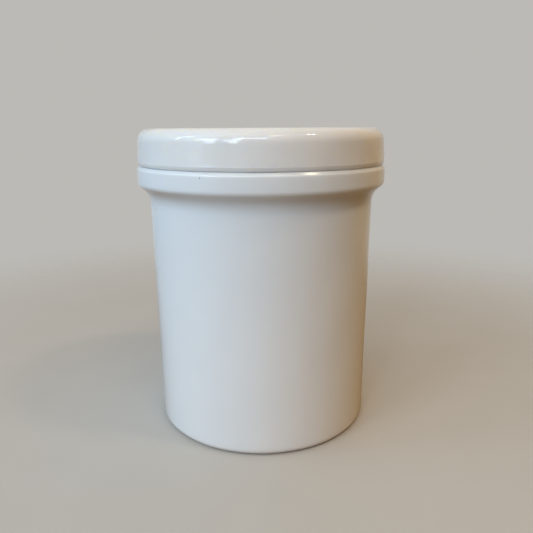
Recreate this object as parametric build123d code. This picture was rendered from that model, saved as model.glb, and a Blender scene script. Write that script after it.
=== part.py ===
"""Wide-mouth white apothecary jar with an ivory screw lid and a loose sealing disc.

Millimetres, +Z up. The origin is on the table, on the jar's own axis.
The jar has a pressed base, a slightly flaring wall and a collar as wide as the lid.
Above the collar, a neck with one right-handed thread carries the lid, and a disc inside the lid seals the rim.
Turning the lid anticlockwise by one full turn lifts it by one lead.
"""

import os
from math import cos, pi, radians, sin

from build123d import *

# Heights above the table
TOTAL_HEIGHT = 143.0
COLLAR_LEDGE_Z = 126.4
COLLAR_LOWER_EDGE_Z = 117.9
COVE_Z = 113.1
RIM_Z = 138.8
LID_SKIRT_Z = 126.5
FLOOR_Z = 7.0

# Outside radii of the jar and its lid
HEEL_R = 52.4
SHOULDER_R = 53.3
COLLAR_R = 58.7
LID_TOP_R = 57.5
LID_SKIRT_R = 58.35
LID_LIP_R = 58.45

# Rounded edges of the jar
HEEL_ROUND = 3.2
COVE_ROUND = 8.5
COLLAR_LOWER_ROUND = 2.4
COLLAR_BEVEL_HEIGHT = 1.4
COLLAR_BEVEL_DEPTH = 1.0
COLLAR_BEVEL_LOWER_ROUND = 0.7
COLLAR_BEVEL_UPPER_ROUND = 0.5
NECK_FILLET = 0.8
RIM_ROUND = 1.7
FLOOR_ROUND = 9.0

# Inside and underside of the jar
BORE_MOUTH_R = 49.6
BORE_FLOOR_R = 48.8
BEARING_RING_INNER_R = 44.5
PUSH_UP = 2.0

# Lid shell: a flat panel, a rounded shoulder and a skirt that ends in a slight lip just above the ledge
LID_PANEL = 3.0
LID_SHOULDER_ROUND = 5.8
LID_LIP_HEIGHT = 2.3
LID_LIP_SLOPE = 0.5
LID_LIP_UNDERCUT = 0.45
LID_LIP_UPPER_ROUND = 0.8
LID_LIP_LOWER_ROUND = 0.6
LID_CORNER_FILLET = 0.5
LID_ENTRY_CHAMFER = 0.6

# Sealing disc, held up in the lid by the top of the lid's thread
DISC_R = 55.0
DISC_GAP = 0.05

# Screw thread, one start, right-handed, with running clearance all round
LEAD = 5.08
NECK_ROOT_R = 53.5
NECK_CREST_R = 55.0
NECK_RIB_BASE = 3.1
NECK_RIB_CREST = 1.3
NECK_RIB_ROUND = 0.55
NECK_RIB_START_DEG = 0.0
NECK_RIB_START_Z = 129.95
NECK_RIB_TURNS = 1.25
LID_ROOT_R = 55.45
LID_CREST_R = 54.0
LID_RIB_BASE = 2.6
LID_RIB_CREST = 1.2
LID_RIB_ROUND = 0.4
LID_RIB_START_DEG = 96.0
LID_RIB_TURNS = 1.05
LID_RIB_DROP = 2.0
RIB_BURY = 0.5
RIB_FADE_DEG = 22.0
RIB_STEP_DEG = 7.5


def rounded_face(corners):
    """Closed face through (radius, height, rounding) corners."""
    face = make_face(Polyline(*[(r, z) for r, z, _ in corners], close=True))
    for r, z, rounding in corners:
        if rounding:
            corner = face.vertices().sort_by_distance((r, z))[0]
            face = fillet(corner, rounding)
    return face


def turned(corners):
    """Solid of revolution about Z, from an outline drawn as (radius, height, rounding)."""
    return revolve(Plane.XZ * rounded_face(corners), Axis.Z)


def rib_path(base_r, outward, sunk, start_deg, start_z, turns):
    """Helix at base_r whose two ends move smoothly into the wall, by the depth sunk."""
    sweep_deg = 360.0 * turns
    steps = round(sweep_deg / RIB_STEP_DEG)
    points = []
    for i in range(steps + 1):
        turned_deg = sweep_deg * i / steps
        from_end = min(turned_deg, sweep_deg - turned_deg)
        fade = max(0.0, 1.0 - from_end / RIB_FADE_DEG)
        r = base_r - outward * sunk * (1.0 - cos(pi * fade)) / 2.0
        around = radians(start_deg + turned_deg)
        points.append((r * cos(around), r * sin(around), start_z + LEAD * turned_deg / 360.0))
    return Spline(*points)


def thread_rib(base_r, crest_r, base_width, crest_width, crest_round, start_deg, start_z, turns):
    """One helical rib standing on the wall at base_r, with its root buried in that wall."""
    outward = 1 if crest_r > base_r else -1
    height = abs(crest_r - base_r)
    root_width = base_width + (base_width - crest_width) * RIB_BURY / height
    section = rounded_face(
        [
            (-RIB_BURY, -root_width / 2.0, 0),
            (-RIB_BURY, root_width / 2.0, 0),
            (height, crest_width / 2.0, crest_round),
            (height, -crest_width / 2.0, crest_round),
        ]
    )
    path = rib_path(base_r, outward, height + RIB_BURY, start_deg, start_z, turns)
    around = radians(start_deg)
    radial = (outward * cos(around), outward * sin(around), 0)
    along = (outward * sin(around), -outward * cos(around), 0)
    start_plane = Plane(origin=path @ 0, x_dir=radial, z_dir=along)
    axis_line = Edge.make_line((0, 0, start_z), (0, 0, start_z + LEAD * turns))
    return sweep(start_plane * section, path, binormal=axis_line)


def push_up_sphere():
    """Large sphere that hollows the underside inside the bearing ring."""
    radius = (BEARING_RING_INNER_R**2 + PUSH_UP**2) / (2.0 * PUSH_UP)
    return Pos(0, 0, PUSH_UP - radius) * Sphere(radius)


def jar():
    """Pressed body: floor, wall, collar and threaded neck in one piece."""
    body = turned(
        [
            (0, FLOOR_Z, 0),
            (0, 0, 0),
            (HEEL_R, 0, HEEL_ROUND),
            (SHOULDER_R, COVE_Z, COVE_ROUND),
            (COLLAR_R, COLLAR_LOWER_EDGE_Z, COLLAR_LOWER_ROUND),
            (COLLAR_R, COLLAR_LEDGE_Z - COLLAR_BEVEL_HEIGHT, COLLAR_BEVEL_LOWER_ROUND),
            (COLLAR_R - COLLAR_BEVEL_DEPTH, COLLAR_LEDGE_Z, COLLAR_BEVEL_UPPER_ROUND),
            (NECK_ROOT_R, COLLAR_LEDGE_Z, NECK_FILLET),
            (NECK_ROOT_R, RIM_Z, RIM_ROUND),
            (BORE_MOUTH_R, RIM_Z, RIM_ROUND),
            (BORE_FLOOR_R, FLOOR_Z, FLOOR_ROUND),
        ]
    )
    rib = thread_rib(
        NECK_ROOT_R,
        NECK_CREST_R,
        NECK_RIB_BASE,
        NECK_RIB_CREST,
        NECK_RIB_ROUND,
        NECK_RIB_START_DEG,
        NECK_RIB_START_Z,
        NECK_RIB_TURNS,
    )
    return body + rib - push_up_sphere()


def screw_lid():
    """Moulded cap. Its rib runs LID_RIB_DROP below the neck's rib when the lid is tight."""
    panel_z = TOTAL_HEIGHT - LID_PANEL
    lip_z = LID_SKIRT_Z + LID_LIP_HEIGHT
    shell = turned(
        [
            (0, panel_z, 0),
            (0, TOTAL_HEIGHT, 0),
            (LID_TOP_R, TOTAL_HEIGHT, LID_SHOULDER_ROUND),
            (LID_SKIRT_R, lip_z, LID_LIP_UPPER_ROUND),
            (LID_LIP_R, lip_z - LID_LIP_SLOPE, LID_LIP_UPPER_ROUND),
            (LID_LIP_R - LID_LIP_UNDERCUT, LID_SKIRT_Z, LID_LIP_LOWER_ROUND),
            (LID_ROOT_R + LID_ENTRY_CHAMFER, LID_SKIRT_Z, 0),
            (LID_ROOT_R, LID_SKIRT_Z + LID_ENTRY_CHAMFER, 0),
            (LID_ROOT_R, panel_z, LID_CORNER_FILLET),
        ]
    )
    climb = LEAD * (LID_RIB_START_DEG - NECK_RIB_START_DEG) / 360.0
    rib = thread_rib(
        LID_ROOT_R,
        LID_CREST_R,
        LID_RIB_BASE,
        LID_RIB_CREST,
        LID_RIB_ROUND,
        LID_RIB_START_DEG,
        NECK_RIB_START_Z - LID_RIB_DROP + climb,
        LID_RIB_TURNS,
    )
    return shell + rib


def sealing_disc():
    """Die-cut board disc between the rim and the lid's panel."""
    low = RIM_Z + DISC_GAP
    high = TOTAL_HEIGHT - LID_PANEL - DISC_GAP
    return Pos(0, 0, (low + high) / 2.0) * Cylinder(DISC_R, high - low)


os.makedirs("parts", exist_ok=True)
export_step(jar(), "parts/jar.step")
export_step(screw_lid(), "parts/screw_lid.step")
export_step(sealing_disc(), "parts/sealing_disc.step")
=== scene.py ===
"""White wide-mouth apothecary jar with an ivory screw lid, standing on a pale studio floor.

Metres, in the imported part's own frame: +Z up, the jar's axis on Z, the floor at zero.
The jar, the lid and the disc inside the lid are each one closed turned mesh.
The thread and the slight unevenness of the surfaces are in the meshes.
Outline sizes are in millimetres and are turned to metres when a mesh is made.
"""

import math

import bpy
import numpy as np
from mathutils import Euler, Matrix, Vector


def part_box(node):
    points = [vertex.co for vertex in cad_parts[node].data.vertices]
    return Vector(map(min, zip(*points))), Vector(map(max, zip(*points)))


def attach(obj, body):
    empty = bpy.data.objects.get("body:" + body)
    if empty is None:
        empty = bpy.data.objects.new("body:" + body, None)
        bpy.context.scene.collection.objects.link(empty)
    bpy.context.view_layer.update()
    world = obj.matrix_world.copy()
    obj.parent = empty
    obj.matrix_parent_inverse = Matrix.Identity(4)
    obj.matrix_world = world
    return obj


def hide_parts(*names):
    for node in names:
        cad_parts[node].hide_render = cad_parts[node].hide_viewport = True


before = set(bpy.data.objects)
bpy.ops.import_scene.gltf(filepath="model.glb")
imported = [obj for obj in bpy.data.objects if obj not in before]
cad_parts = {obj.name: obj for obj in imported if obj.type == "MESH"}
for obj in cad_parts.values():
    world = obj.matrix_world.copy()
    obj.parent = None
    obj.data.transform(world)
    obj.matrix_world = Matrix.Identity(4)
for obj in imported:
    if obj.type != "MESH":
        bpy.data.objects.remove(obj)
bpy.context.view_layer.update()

MM = 0.001

# Main sizes in millimetres, from the frame
_, jar_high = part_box("jar")
lid_low, lid_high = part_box("screw_lid")
disc_low, disc_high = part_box("sealing_disc")
RIM_Z = jar_high.z / MM
COLLAR_R = jar_high.x / MM
LID_TOP_Z = lid_high.z / MM
SKIRT_Z = lid_low.z / MM
LIP_R = lid_high.x / MM
DISC_LOW_Z = disc_low.z / MM
DISC_HIGH_Z = disc_high.z / MM
DISC_R = disc_high.x / MM

# Jar sections that the boxes do not give
LEDGE_Z = RIM_Z - 12.4
COLLAR_FOOT_Z = RIM_Z - 20.9
COVE_Z = RIM_Z - 25.7
HEEL_R = 52.4
SHOULDER_R = 53.3
NECK_R = 53.5
BORE_MOUTH_R = 49.6
BORE_FLOOR_R = 48.8
RING_INNER_R = 44.5
FLOOR_THICKNESS = 7.0
PUSH_UP = 2.0
RING_ROUND = 1.5
HEEL_ROUND = 3.2
COVE_ROUND = 8.5
COLLAR_FOOT_ROUND = 2.4
COLLAR_BEVEL_HEIGHT = 1.4
COLLAR_BEVEL_DEPTH = 1.0
COLLAR_BEVEL_FOOT_ROUND = 0.7
COLLAR_BEVEL_TOP_ROUND = 0.5
NECK_FILLET = 0.8
RIM_ROUND = 1.7
FLOOR_ROUND = 9.0

# Lid sections
LID_CORNER_R = 57.5
LID_WALL_R = 58.35
LID_BORE_R = 55.45
PANEL_Z = LID_TOP_Z - 3.0
LID_SHOULDER_ROUND = 5.8
LIP_TOP_Z = SKIRT_Z + 2.3
LIP_EDGE_Z = SKIRT_Z + 1.8
LIP_TOP_ROUND = 0.8
LIP_UNDERCUT = 0.45
LIP_FOOT_ROUND = 0.6
ENTRY_CHAMFER = 0.6
ENTRY_ROUND = 0.2
PANEL_FILLET = 0.5

DISC_EDGE_ROUND = 0.15

# Screw thread, in millimetres and degrees
LEAD = 5.08
NECK_RIB_HEIGHT = 1.5
NECK_RIB_WIDTH = 3.3
NECK_RIB_START_DEG = 0.0
NECK_RIB_START_Z = RIM_Z - 8.85
NECK_RIB_TURNS = 1.25
LID_RIB_HEIGHT = 1.4
LID_RIB_WIDTH = 2.7
LID_RIB_START_DEG = 96.0
LID_RIB_START_Z = NECK_RIB_START_Z - 2.0 + LEAD * LID_RIB_START_DEG / 360.0
LID_RIB_TURNS = 1.05
RIB_FLANK_SHARE = 0.62
RIB_FADE_DEG = 24.0

# Mesh density: steps round the axis and round an arc, then the longest edges along the outlines
TURN_STEPS = 288
ARC_STEP_DEG = 7.5
ARC_STEPS_MIN = 4
FLAT_STEP = 3.0
WALL_STEP = 2.4
SHOULDER_STEP = 1.5
RING_STEP = 1.0
SKIRT_STEP = 0.9
COLLAR_STEP = 0.8
LEDGE_STEP = 0.6
RIM_STEP = 0.5
ENTRY_STEP = 0.4
EDGE_STEP = 0.3
THREAD_STEP = 0.26
LIP_STEP = 0.2

# Slight unevenness of the surfaces: height and usual wavelength
JAR_WAVE = (0.03, 26.0)
LID_WAVE = (0.022, 13.0)
LID_RIPPLE = (0.0035, 4.0)
# How many plane waves make it up, and the shortest and longest wave as a share of the usual one
WAVE_COUNT = 28
WAVE_SPREAD = (0.7, 1.6)


def unit(v):
    return v / np.linalg.norm(v)


def towards(azimuth, elevation):
    """Unit vector from the jar. Azimuth 0 is the camera's side and grows towards +X, in degrees."""
    a = math.radians(azimuth)
    e = math.radians(elevation)
    return (math.sin(a) * math.cos(e), -math.cos(a) * math.cos(e), math.sin(e))


def rounded_corner(before, here, after, rounding):
    """Arc points, in order, that round the corner at here."""
    to_before = unit(before - here)
    to_after = unit(after - here)
    half_angle = math.acos(np.clip(to_before @ to_after, -1.0, 1.0)) / 2.0
    reach = rounding / math.tan(half_angle)
    centre = here + unit(to_before + to_after) * rounding / math.sin(half_angle)
    first = here + to_before * reach - centre
    last = here + to_after * reach - centre
    start = math.atan2(first[1], first[0])
    swing = math.atan2(last[1], last[0]) - start
    swing = (swing + math.pi) % (2.0 * math.pi) - math.pi
    steps = max(ARC_STEPS_MIN, math.ceil(abs(swing) / math.radians(ARC_STEP_DEG)))
    angles = start + swing * np.arange(steps + 1) / steps
    return [centre + rounding * np.array([math.cos(a), math.sin(a)]) for a in angles]


def outline(corners):
    """Dense (radius, height) outline through (radius, height, rounding, step) corners.

    step is the longest edge allowed on the straight stretch that leaves the corner."""
    places = [np.array(corner[:2], float) for corner in corners]
    groups = []
    for i, (_, _, rounding, _) in enumerate(corners):
        if rounding:
            groups.append(rounded_corner(places[i - 1], places[i], places[i + 1], rounding))
        else:
            groups.append([places[i]])
    points = []
    for group, following, corner in zip(groups, groups[1:], corners):
        points.extend(group)
        stretch = following[0] - group[-1]
        pieces = max(1, math.ceil(np.linalg.norm(stretch) / corner[3]))
        points.extend(group[-1] + stretch * k / pieces for k in range(1, pieces))
    points.extend(groups[-1])
    return np.array(points)


def outline_normals(points):
    """Unit normals that point out of the solid, for an outline that runs anticlockwise round it."""
    along = np.gradient(points, axis=0)
    along /= np.linalg.norm(along, axis=1)[:, None]
    return np.stack([along[:, 1], -along[:, 0]], axis=1)


def unevenness(places, wave, seed):
    """Smooth random field from seeded plane waves, for a wave given as (height, wavelength)."""
    height, wavelength = wave
    rng = np.random.default_rng(seed)
    field = np.zeros(places.shape[:-1])
    for _ in range(WAVE_COUNT):
        direction = unit(rng.normal(size=3))
        pitch = wavelength * rng.uniform(*WAVE_SPREAD)
        field += np.sin(places @ direction * (2.0 * math.pi / pitch) + rng.uniform(0.0, 2.0 * math.pi))
    return height * field / math.sqrt(WAVE_COUNT / 2.0)


def smooth_step(x):
    """0 below 0 and 1 above 1, with a smooth rise between."""
    x = np.clip(x, 0.0, 1.0)
    return x * x * (3.0 - 2.0 * x)


def thread_relief(z, degrees, rib_height, width, start_deg, start_z, turns):
    """How far the thread rib stands off the wall at each height and angle."""
    relief = np.zeros(z.shape)
    for lap in range(-1, math.ceil(turns) + 1):
        travel = degrees - start_deg + 360.0 * lap
        from_end = np.minimum(travel, 360.0 * turns - travel)
        off_line = np.abs(z - start_z - LEAD * travel / 360.0) / (width / 2.0)
        section = smooth_step((1.0 - off_line) / RIB_FLANK_SHARE)
        relief = np.maximum(relief, section * smooth_step(from_end / RIB_FADE_DEG))
    return rib_height * relief


def turned_mesh(name, points, relief, body, material):
    """Closed mesh of revolution from an outline that starts and ends on the axis.

    relief gives how far each point is moved along the outline's normal."""
    normals = outline_normals(points)[1:-1]
    ring = points[1:-1]
    angles = np.arange(TURN_STEPS) * 2.0 * math.pi / TURN_STEPS
    r = np.repeat(ring[:, :1], TURN_STEPS, axis=1)
    z = np.repeat(ring[:, 1:], TURN_STEPS, axis=1)
    places = np.stack([r * np.cos(angles), r * np.sin(angles), z], axis=2)
    lift = relief(z, np.degrees(angles), normals[:, :1], places)
    r = r + lift * normals[:, :1]
    z = z + lift * normals[:, 1:]
    wall = np.stack([r * np.cos(angles), r * np.sin(angles), z], axis=2).reshape(-1, 3)
    poles = np.array([[0.0, 0.0, points[0, 1]], [0.0, 0.0, points[-1, 1]]])
    first_pole = len(wall)
    top_ring = first_pole - TURN_STEPS
    faces = []
    for j in range(TURN_STEPS):
        k = (j + 1) % TURN_STEPS
        faces.append((first_pole, k, j))
        faces.append((first_pole + 1, top_ring + j, top_ring + k))
        for low in range(0, top_ring, TURN_STEPS):
            high = low + TURN_STEPS
            faces.append((low + j, low + k, high + k, high + j))
    mesh = bpy.data.meshes.new(name)
    mesh.from_pydata((np.concatenate([wall, poles]) * MM).tolist(), [], faces)
    mesh.update()
    mesh.shade_smooth()
    mesh.materials.append(material)
    piece = bpy.data.objects.new(name, mesh)
    bpy.context.scene.collection.objects.link(piece)
    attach(piece, body)
    return piece


# ---------------------------------------------------------------- materials


class Nodes:
    """Short calls for building one material's node tree. Sizes are in millimetres."""

    def __init__(self, name):
        self.material = bpy.data.materials.new(name)
        self.material.use_nodes = True
        self.tree = self.material.node_tree
        self.shader = self.tree.nodes["Principled BSDF"]
        place = self.node("ShaderNodeVectorMath", operation="SCALE")
        self.tree.links.new(self.node("ShaderNodeTexCoord").outputs["Object"], place.inputs[0])
        place.inputs["Scale"].default_value = 1.0 / MM
        self.place = place.outputs[0]

    def node(self, kind, **settings):
        made = self.tree.nodes.new(kind)
        for key, value in settings.items():
            setattr(made, key, value)
        return made

    def link(self, source, target):
        if isinstance(source, bpy.types.NodeSocket):
            self.tree.links.new(source, target)
        elif isinstance(source, tuple) and len(source) == 3 and target.type == "RGBA":
            target.default_value = source + (1.0,)
        else:
            target.default_value = source

    def set(self, **inputs):
        """Sets shader inputs by name, with _ for a space."""
        for name, value in inputs.items():
            self.link(value, self.shader.inputs[name.replace("_", " ")])

    def math(self, operation, a, b=0.0):
        made = self.node("ShaderNodeMath", operation=operation)
        self.link(a, made.inputs[0])
        self.link(b, made.inputs[1])
        return made.outputs[0]

    def stretched(self, scale):
        made = self.node("ShaderNodeVectorMath", operation="MULTIPLY")
        self.link(self.place, made.inputs[0])
        made.inputs[1].default_value = scale
        return made.outputs[0]

    def noise(self, size, detail=3.0, stretch=(1.0, 1.0, 1.0), distortion=0.0):
        """Noise in 0 to 1 whose blobs are about size across."""
        made = self.node("ShaderNodeTexNoise")
        made.inputs["Scale"].default_value = 1.0 / size
        made.inputs["Detail"].default_value = detail
        made.inputs["Distortion"].default_value = distortion
        self.link(self.stretched(stretch), made.inputs["Vector"])
        return made.outputs["Fac"]

    def range(self, value, low, high, to_low=0.0, to_high=1.0):
        """Smooth step of a value from low to high, onto to_low to to_high."""
        made = self.node("ShaderNodeMapRange", interpolation_type="SMOOTHSTEP")
        settings = {"Value": value, "From Min": low, "From Max": high, "To Min": to_low, "To Max": to_high}
        for name, setting in settings.items():
            self.link(setting, made.inputs[name])
        return made.outputs[0]

    def mix(self, share, a, b):
        made = self.node("ShaderNodeMix", data_type="RGBA")
        self.link(share, made.inputs[0])
        self.link(a, made.inputs[6])
        self.link(b, made.inputs[7])
        return made.outputs[2]

    def height(self):
        made = self.node("ShaderNodeSeparateXYZ")
        self.link(self.place, made.inputs[0])
        return made.outputs["Z"]

    def distance_to(self, point, stretch=(1.0, 1.0, 1.0)):
        """Distance to a point, in a space stretched along the axes."""
        made = self.node("ShaderNodeVectorMath", operation="DISTANCE")
        self.link(self.stretched(stretch), made.inputs[0])
        made.inputs[1].default_value = tuple(p * s for p, s in zip(point, stretch))
        return made.outputs["Value"]

    def specks(self, spacing, radius, share):
        """1 inside small round specks, which sit in a share of the cells that are spacing across."""
        cells = self.node("ShaderNodeTexVoronoi")
        cells.inputs["Scale"].default_value = 1.0 / spacing
        self.link(self.place, cells.inputs["Vector"])
        near = self.range(cells.outputs["Distance"], 0.6 * radius / spacing, radius / spacing, 1.0, 0.0)
        pick = self.node("ShaderNodeSeparateColor")
        self.link(cells.outputs["Color"], pick.inputs[0])
        return self.math("MULTIPLY", near, self.math("LESS_THAN", pick.outputs[0], share))

    def bump(self, height, distance):
        """Bump of a height in 0 to 1, whose full height is distance."""
        made = self.node("ShaderNodeBump")
        made.inputs["Distance"].default_value = distance * MM
        self.link(height, made.inputs["Height"])
        self.set(Normal=made.outputs["Normal"])


WHITE = (0.82, 0.825, 0.825)
WHITE_CLOUD = (0.805, 0.812, 0.814)
SEED = (0.34, 0.30, 0.25)
SCUFF = (0.50, 0.48, 0.45)
IVORY = (0.84, 0.81, 0.785)
IVORY_CLOUD = (0.825, 0.795, 0.765)
PULP = (0.60, 0.55, 0.46)
PULP_LIGHT = (0.74, 0.70, 0.61)

# Smoothest and roughest spots of each surface
WHITE_ROUGHNESS = (0.16, 0.21)
IVORY_ROUGHNESS = (0.035, 0.05)
PULP_ROUGHNESS = (0.5, 0.65)
SCUFF_ROUGHENING = 0.4
HAIR_ROUGHENING = 0.12

# How far light spreads below the white and the ivory, and its share by colour
SPREAD = 3.0
WHITE_SPREAD = (1.0, 0.95, 0.9)
IVORY_SPREAD = (1.0, 0.9, 0.65)

# One dark speck in the glaze of the collar
SPECK_AZIMUTH_DEG = -23.5
SPECK_Z = 124.1


def opal_white():
    """Milky white body with a satin gloss, faint clouds, a few seeds and a scuffed foot ring."""
    n = Nodes("opal_white")
    cloud = n.range(n.noise(30, detail=4.0), 0.35, 0.65)
    colour = n.mix(cloud, WHITE_CLOUD, WHITE)
    speck_x, speck_y, _ = towards(SPECK_AZIMUTH_DEG, 0.0)
    speck_place = (COLLAR_R * speck_x, COLLAR_R * speck_y, SPECK_Z)
    speck = n.range(n.distance_to(speck_place, stretch=(1.0, 1.0, 0.5)), 0.15, 0.3, 0.7, 0.0)
    seeds = n.math("MAXIMUM", speck, n.specks(spacing=17.0, radius=0.22, share=0.3))
    colour = n.mix(seeds, colour, SEED)
    foot = n.range(n.height(), 0.05, 0.5, 1.0, 0.0)
    scuff = n.math("MULTIPLY", foot, n.range(n.noise(2.5, detail=8.0), 0.42, 0.62, 0.1, 0.8))
    colour = n.mix(scuff, colour, SCUFF)
    gloss = n.range(n.noise(14, detail=5.0), 0.3, 0.7, *WHITE_ROUGHNESS)
    roughness = n.math("ADD", gloss, n.math("MULTIPLY", scuff, SCUFF_ROUGHENING))
    n.bump(n.noise(2.6), 0.006)
    n.set(Base_Color=colour, Roughness=roughness, IOR=1.5)
    n.set(Subsurface_Weight=1.0, Subsurface_Radius=WHITE_SPREAD, Subsurface_Scale=SPREAD * MM)
    return n.material


def scratches(n, size, stretch, share):
    """Thin hairlines on a share of the surface, where a stretched noise crosses its middle value."""
    wander = n.noise(size, detail=2.0, stretch=stretch, distortion=0.4)
    off_middle = n.math("ABSOLUTE", n.math("SUBTRACT", wander, 0.5))
    hair = n.range(off_middle, 0.0, 0.006, 1.0, 0.0)
    return n.math("MULTIPLY", hair, n.range(n.noise(9.0), 1.0 - share, 1.0 - share + 0.1))


def ivory_gloss():
    """Moulded ivory cap with a high gloss, a faint cloud and fine hairline scratches."""
    n = Nodes("ivory_gloss")
    cloud = n.range(n.noise(16, detail=5.0), 0.35, 0.65)
    along = scratches(n, 7.0, (1.0, 0.12, 1.0), 0.45)
    across = scratches(n, 6.0, (0.1, 1.0, 1.0), 0.42)
    hair = n.math("MAXIMUM", along, across)
    dust = n.specks(spacing=9.0, radius=0.12, share=0.35)
    colour = n.mix(n.math("MULTIPLY", dust, 0.5), n.mix(cloud, IVORY_CLOUD, IVORY), SEED)
    gloss = n.range(n.noise(7), 0.3, 0.7, *IVORY_ROUGHNESS)
    roughness = n.math("ADD", gloss, n.math("MULTIPLY", hair, HAIR_ROUGHENING))
    n.bump(n.math("SUBTRACT", n.noise(3.0), n.math("MULTIPLY", hair, 0.6)), 0.003)
    n.set(Base_Color=colour, Roughness=roughness, IOR=1.54)
    n.set(Subsurface_Weight=1.0, Subsurface_Radius=IVORY_SPREAD, Subsurface_Scale=SPREAD * MM)
    return n.material


def waxed_board():
    """Pulpboard disc with long fibres and a dull wax."""
    n = Nodes("waxed_board")
    fibre = n.noise(1.2, detail=8.0, stretch=(1.0, 3.0, 1.0))
    n.bump(fibre, 0.08)
    roughness = n.range(n.noise(4.0), 0.3, 0.7, *PULP_ROUGHNESS)
    n.set(Base_Color=n.mix(fibre, PULP, PULP_LIGHT), Roughness=roughness)
    return n.material


# ---------------------------------------------------------------- pieces


def jar_corners():
    """Outside of the jar from the middle of its base, then the inside down to the floor.

    Halfway out, the shallow dome of the push-up still has three quarters of its height."""
    return [
        (0.0, PUSH_UP, 0, FLAT_STEP),
        (RING_INNER_R / 2.0, PUSH_UP * 0.75, 0, FLAT_STEP),
        (RING_INNER_R, 0.0, RING_ROUND, RING_STEP),
        (HEEL_R, 0.0, HEEL_ROUND, WALL_STEP),
        (SHOULDER_R, COVE_Z, COVE_ROUND, LEDGE_STEP),
        (COLLAR_R, COLLAR_FOOT_Z, COLLAR_FOOT_ROUND, COLLAR_STEP),
        (COLLAR_R, LEDGE_Z - COLLAR_BEVEL_HEIGHT, COLLAR_BEVEL_FOOT_ROUND, EDGE_STEP),
        (COLLAR_R - COLLAR_BEVEL_DEPTH, LEDGE_Z, COLLAR_BEVEL_TOP_ROUND, LEDGE_STEP),
        (NECK_R, LEDGE_Z, NECK_FILLET, THREAD_STEP),
        (NECK_R, RIM_Z, RIM_ROUND, RIM_STEP),
        (BORE_MOUTH_R, RIM_Z, RIM_ROUND, WALL_STEP),
        (BORE_FLOOR_R, FLOOR_THICKNESS, FLOOR_ROUND, FLAT_STEP),
        (0.0, FLOOR_THICKNESS, 0, FLAT_STEP),
    ]


def jar_relief(z, degrees, outward, places):
    """Thread on the neck, and slight unevenness everywhere."""
    size = (NECK_RIB_HEIGHT, NECK_RIB_WIDTH)
    rib = thread_relief(z, degrees, *size, NECK_RIB_START_DEG, NECK_RIB_START_Z, NECK_RIB_TURNS)
    on_neck = (outward > 0.5) & (z > LEDGE_Z)
    return np.where(on_neck, rib, 0.0) + unevenness(places, JAR_WAVE, seed=11)


def build_jar():
    points = outline(jar_corners())
    piece = turned_mesh("jar_body", points, jar_relief, "jar", opal_white())
    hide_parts("jar")


def lid_corners():
    """Inside of the lid from the middle of its panel, then the outside up to the top."""
    return [
        (0.0, PANEL_Z, 0, FLAT_STEP),
        (LID_BORE_R, PANEL_Z, PANEL_FILLET, THREAD_STEP),
        (LID_BORE_R, SKIRT_Z + ENTRY_CHAMFER, ENTRY_ROUND, ENTRY_STEP),
        (LID_BORE_R + ENTRY_CHAMFER, SKIRT_Z, ENTRY_ROUND, ENTRY_STEP),
        (LIP_R - LIP_UNDERCUT, SKIRT_Z, LIP_FOOT_ROUND, EDGE_STEP),
        (LIP_R, LIP_EDGE_Z, LIP_TOP_ROUND, LIP_STEP),
        (LID_WALL_R, LIP_TOP_Z, LIP_TOP_ROUND, SKIRT_STEP),
        (LID_CORNER_R, LID_TOP_Z, LID_SHOULDER_ROUND, SHOULDER_STEP),
        (0.0, LID_TOP_Z, 0, FLAT_STEP),
    ]


def lid_relief(z, degrees, outward, places):
    """Thread inside the skirt, and slight unevenness everywhere."""
    size = (LID_RIB_HEIGHT, LID_RIB_WIDTH)
    rib = thread_relief(z, degrees, *size, LID_RIB_START_DEG, LID_RIB_START_Z, LID_RIB_TURNS)
    inside = (outward < -0.5) & (z < PANEL_Z)
    ripple = unevenness(places, LID_WAVE, seed=5) + unevenness(places, LID_RIPPLE, seed=6)
    return np.where(inside, rib, 0.0) + ripple


def build_lid():
    points = outline(lid_corners())
    piece = turned_mesh("lid_cap", points, lid_relief, "lid", ivory_gloss())
    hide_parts("screw_lid")


def disc_corners():
    """Underside, edge and top of the disc."""
    return [
        (0.0, DISC_LOW_Z, 0, FLAT_STEP),
        (DISC_R, DISC_LOW_Z, DISC_EDGE_ROUND, EDGE_STEP),
        (DISC_R, DISC_HIGH_Z, DISC_EDGE_ROUND, FLAT_STEP),
        (0.0, DISC_HIGH_Z, 0, FLAT_STEP),
    ]


def flat_relief(z, degrees, outward, places):
    """No relief at all."""
    return np.zeros(z.shape)


def build_disc():
    points = outline(disc_corners())
    piece = turned_mesh("board_disc", points, flat_relief, "disc", waxed_board())
    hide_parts("sealing_disc")


# ---------------------------------------------------------------- studio


# Soft parts of the surroundings: azimuth, elevation, sharpness, colour
SOFT_LOBES = [
    (-62.0, 32.0, 4.5, (0.58, 0.90, 1.17)),
    (-15.0, 50.0, 5.0, (0.56, 0.39, 0.21)),
    (45.0, 50.0, 5.0, (0.43, 0.22, 0.04)),
    (135.0, 15.0, 5.0, (0.66, 0.37, 0.07)),
    (-135.0, 15.0, 5.0, (0.20, 0.28, 0.36)),
    (180.0, 45.0, 4.0, (0.26, 0.26, 0.25)),
    (170.0, 10.0, 9.0, (0.60, 0.72, 0.85)),
    (0.0, 90.0, 3.0, (0.13, 0.09, 0.05)),
]
AMBIENT = (0.01, 0.01, 0.01)
# Pale wall behind the jar. Glossy edges mirror it where a direction's +Y share is within the fade
BACKDROP = (0.50, 0.49, 0.465)
WALL_FADE = (0.45, 0.9)

DAYLIGHT = (0.64, 0.82, 1.0)
LAMPLIGHT = (1.0, 0.86, 0.62)
WINDOW_RADIANCE = 7.5
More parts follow.
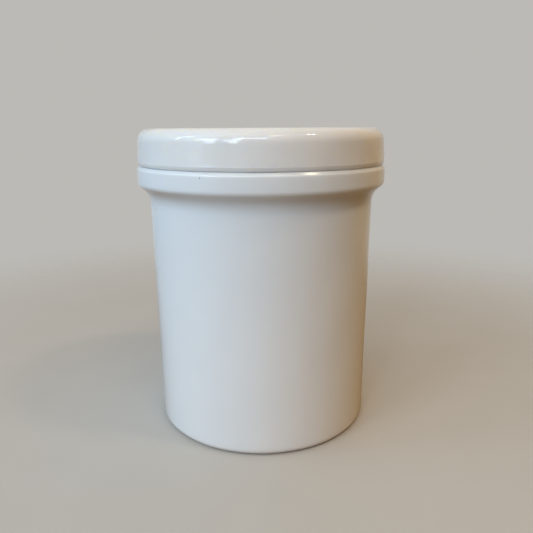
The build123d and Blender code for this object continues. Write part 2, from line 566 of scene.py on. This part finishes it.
# Softboxes that the lid mirrors as windows and lamps: azimuth, elevation, width and height in degrees,
# colour, radiance
SOFTBOXES = [
    (-81.0, 27.0, 6.0, 14.0, DAYLIGHT, WINDOW_RADIANCE),
    (-75.0, 38.0, 6.0, 6.0, DAYLIGHT, WINDOW_RADIANCE),
    (-54.0, 24.0, 9.0, 15.0, DAYLIGHT, WINDOW_RADIANCE),
    (-44.0, 18.0, 10.0, 23.0, DAYLIGHT, WINDOW_RADIANCE),
    (-28.0, 21.0, 6.0, 12.0, DAYLIGHT, WINDOW_RADIANCE),
    (-21.0, 29.0, 6.0, 20.0, DAYLIGHT, WINDOW_RADIANCE),
    (-23.0, 13.0, 5.0, 13.0, DAYLIGHT, WINDOW_RADIANCE),
    (-57.0, 2.0, 14.0, 14.0, DAYLIGHT, 0.8),
    (-7.0, 36.0, 21.0, 5.0, DAYLIGHT, 11.0),
    (23.0, 57.0, 14.0, 5.0, LAMPLIGHT, 10.0),
    (64.0, 56.0, 3.5, 4.5, LAMPLIGHT, 40.0),
    (70.0, 55.0, 3.5, 4.5, LAMPLIGHT, 40.0),
]
SOFTBOX_DISTANCE = 1.5


def build_world():
    """Soft lobes of light for the jar, and the plain backdrop for the camera and for edges facing away."""
    world = bpy.data.worlds.new("studio")
    bpy.context.scene.world = world
    world.use_nodes = True
    tree = world.node_tree
    tree.nodes.clear()

    def node(kind, *inputs, **settings):
        made = tree.nodes.new(kind)
        for key, value in settings.items():
            setattr(made, key, value)
        for socket, source in zip(made.inputs, inputs):
            if isinstance(source, bpy.types.NodeSocket):
                tree.links.new(source, socket)
            elif source is not None:
                socket.default_value = source
        return made

    direction = node("ShaderNodeTexCoord").outputs["Generated"]
    total = AMBIENT
    for azimuth, elevation, sharpness, colour in SOFT_LOBES:
        dot = node("ShaderNodeVectorMath", direction, towards(azimuth, elevation), operation="DOT_PRODUCT")
        facing = node("ShaderNodeMath", dot.outputs["Value"], 0.0, operation="MAXIMUM")
        lobe = node("ShaderNodeMath", facing.outputs[0], sharpness, operation="POWER")
        glow = node("ShaderNodeVectorMath", colour, operation="SCALE")
        tree.links.new(lobe.outputs[0], glow.inputs["Scale"])
        total = node("ShaderNodeVectorMath", glow.outputs[0], total, operation="ADD").outputs[0]
    light = node("ShaderNodeBackground", total)
    backdrop = node("ShaderNodeBackground", BACKDROP + (1.0,))
    ray = node("ShaderNodeLightPath").outputs
    behind = node("ShaderNodeMapRange", node("ShaderNodeSeparateXYZ", direction).outputs["Y"], *WALL_FADE)
    mirrored = node("ShaderNodeMath", ray["Is Glossy Ray"], behind.outputs[0], operation="MULTIPLY")
    shown = node("ShaderNodeMath", ray["Is Camera Ray"], mirrored.outputs[0], operation="MAXIMUM")
    choose = node("ShaderNodeMixShader", shown.outputs[0], light.outputs[0], backdrop.outputs[0])
    node("ShaderNodeOutputWorld", choose.outputs[0])


def build_softboxes():
    """Rectangular area lights on a sphere round the lid, each turned to face it."""
    aim = Vector((0.0, 0.0, LID_TOP_Z * MM))
    for i, (azimuth, elevation, wide, tall, colour, radiance) in enumerate(SOFTBOXES):
        out = Vector(towards(azimuth, elevation))
        light = bpy.data.lights.new(f"softbox_{i}", "AREA")
        light.shape = "RECTANGLE"
        light.size = 2.0 * SOFTBOX_DISTANCE * math.tan(math.radians(wide) / 2.0)
        light.size_y = 2.0 * SOFTBOX_DISTANCE * math.tan(math.radians(tall) / 2.0)
        light.color = colour
        light.energy = radiance * light.size * light.size_y * math.pi
        lamp = bpy.data.objects.new(light.name, light)
        lamp.location = aim + out * SOFTBOX_DISTANCE
        lamp.rotation_euler = (-out).to_track_quat("-Z", "Y").to_euler()
        lamp.visible_camera = False
        bpy.context.scene.collection.objects.link(lamp)


# Floor: a disc that fades into the backdrop, in millimetres
FLOOR_STEPS = 96
FLOOR_SOLID_R = 170.0
FLOOR_GONE_R = 470.0
FLOOR_ROUGHNESS = 0.55
FLOOR_PALE = (0.53, 0.505, 0.47)
FLOOR_PALE_GRAIN = (0.50, 0.475, 0.44)
# The floor lights the jar from below like the darker, warmer top it would stand on
FLOOR_BOUNCE = (0.27, 0.165, 0.072)


def pale_floor():
    """Pale top with a soft grain to the camera, and the darker, warmer bounce to every other ray."""
    n = Nodes("pale_floor")
    seen = n.node("ShaderNodeLightPath").outputs["Is Camera Ray"]
    grain = n.mix(n.noise(30, detail=6.0), FLOOR_PALE_GRAIN, FLOOR_PALE)
    from_middle = n.distance_to((0.0, 0.0, 0.0))
    n.set(Base_Color=n.mix(seen, FLOOR_BOUNCE, grain), Roughness=FLOOR_ROUGHNESS)
    n.set(Alpha=n.range(from_middle, FLOOR_SOLID_R, FLOOR_GONE_R, 1.0, 0.0))
    return n.material


def build_floor():
    turns = [2.0 * math.pi * i / FLOOR_STEPS for i in range(FLOOR_STEPS)]
    rim = [(FLOOR_GONE_R * MM * math.cos(a), FLOOR_GONE_R * MM * math.sin(a), 0.0) for a in turns]
    mesh = bpy.data.meshes.new("floor")
    mesh.from_pydata(rim, [], [tuple(range(FLOOR_STEPS))])
    mesh.materials.append(pale_floor())
    floor = bpy.data.objects.new("floor", mesh)
    bpy.context.scene.collection.objects.link(floor)


# Camera, in metres and degrees
CAMERA_PLACE = (0.0024, -0.2637, 0.1427)
CAMERA_DOWN_DEG = 14.47
CAMERA_ROLL_DEG = 0.31
CAMERA_LENS = 36.14
CAMERA_CLIP_START = 0.01


def build_camera():
    camera = bpy.data.cameras.new("camera")
    camera.lens = CAMERA_LENS
    camera.clip_start = CAMERA_CLIP_START
    viewer = bpy.data.objects.new("camera", camera)
    viewer.location = CAMERA_PLACE
    aim = Euler((math.radians(90.0 - CAMERA_DOWN_DEG), 0.0, 0.0)).to_matrix()
    roll = Matrix.Rotation(math.radians(-CAMERA_ROLL_DEG), 3, "Z")
    viewer.rotation_euler = (aim @ roll).to_euler()
    bpy.context.scene.collection.objects.link(viewer)
    bpy.context.scene.camera = viewer


build_jar()
build_lid()
build_disc()
build_floor()
build_world()
build_softboxes()
build_camera()
bpy.context.scene.view_settings.view_transform = "Standard"
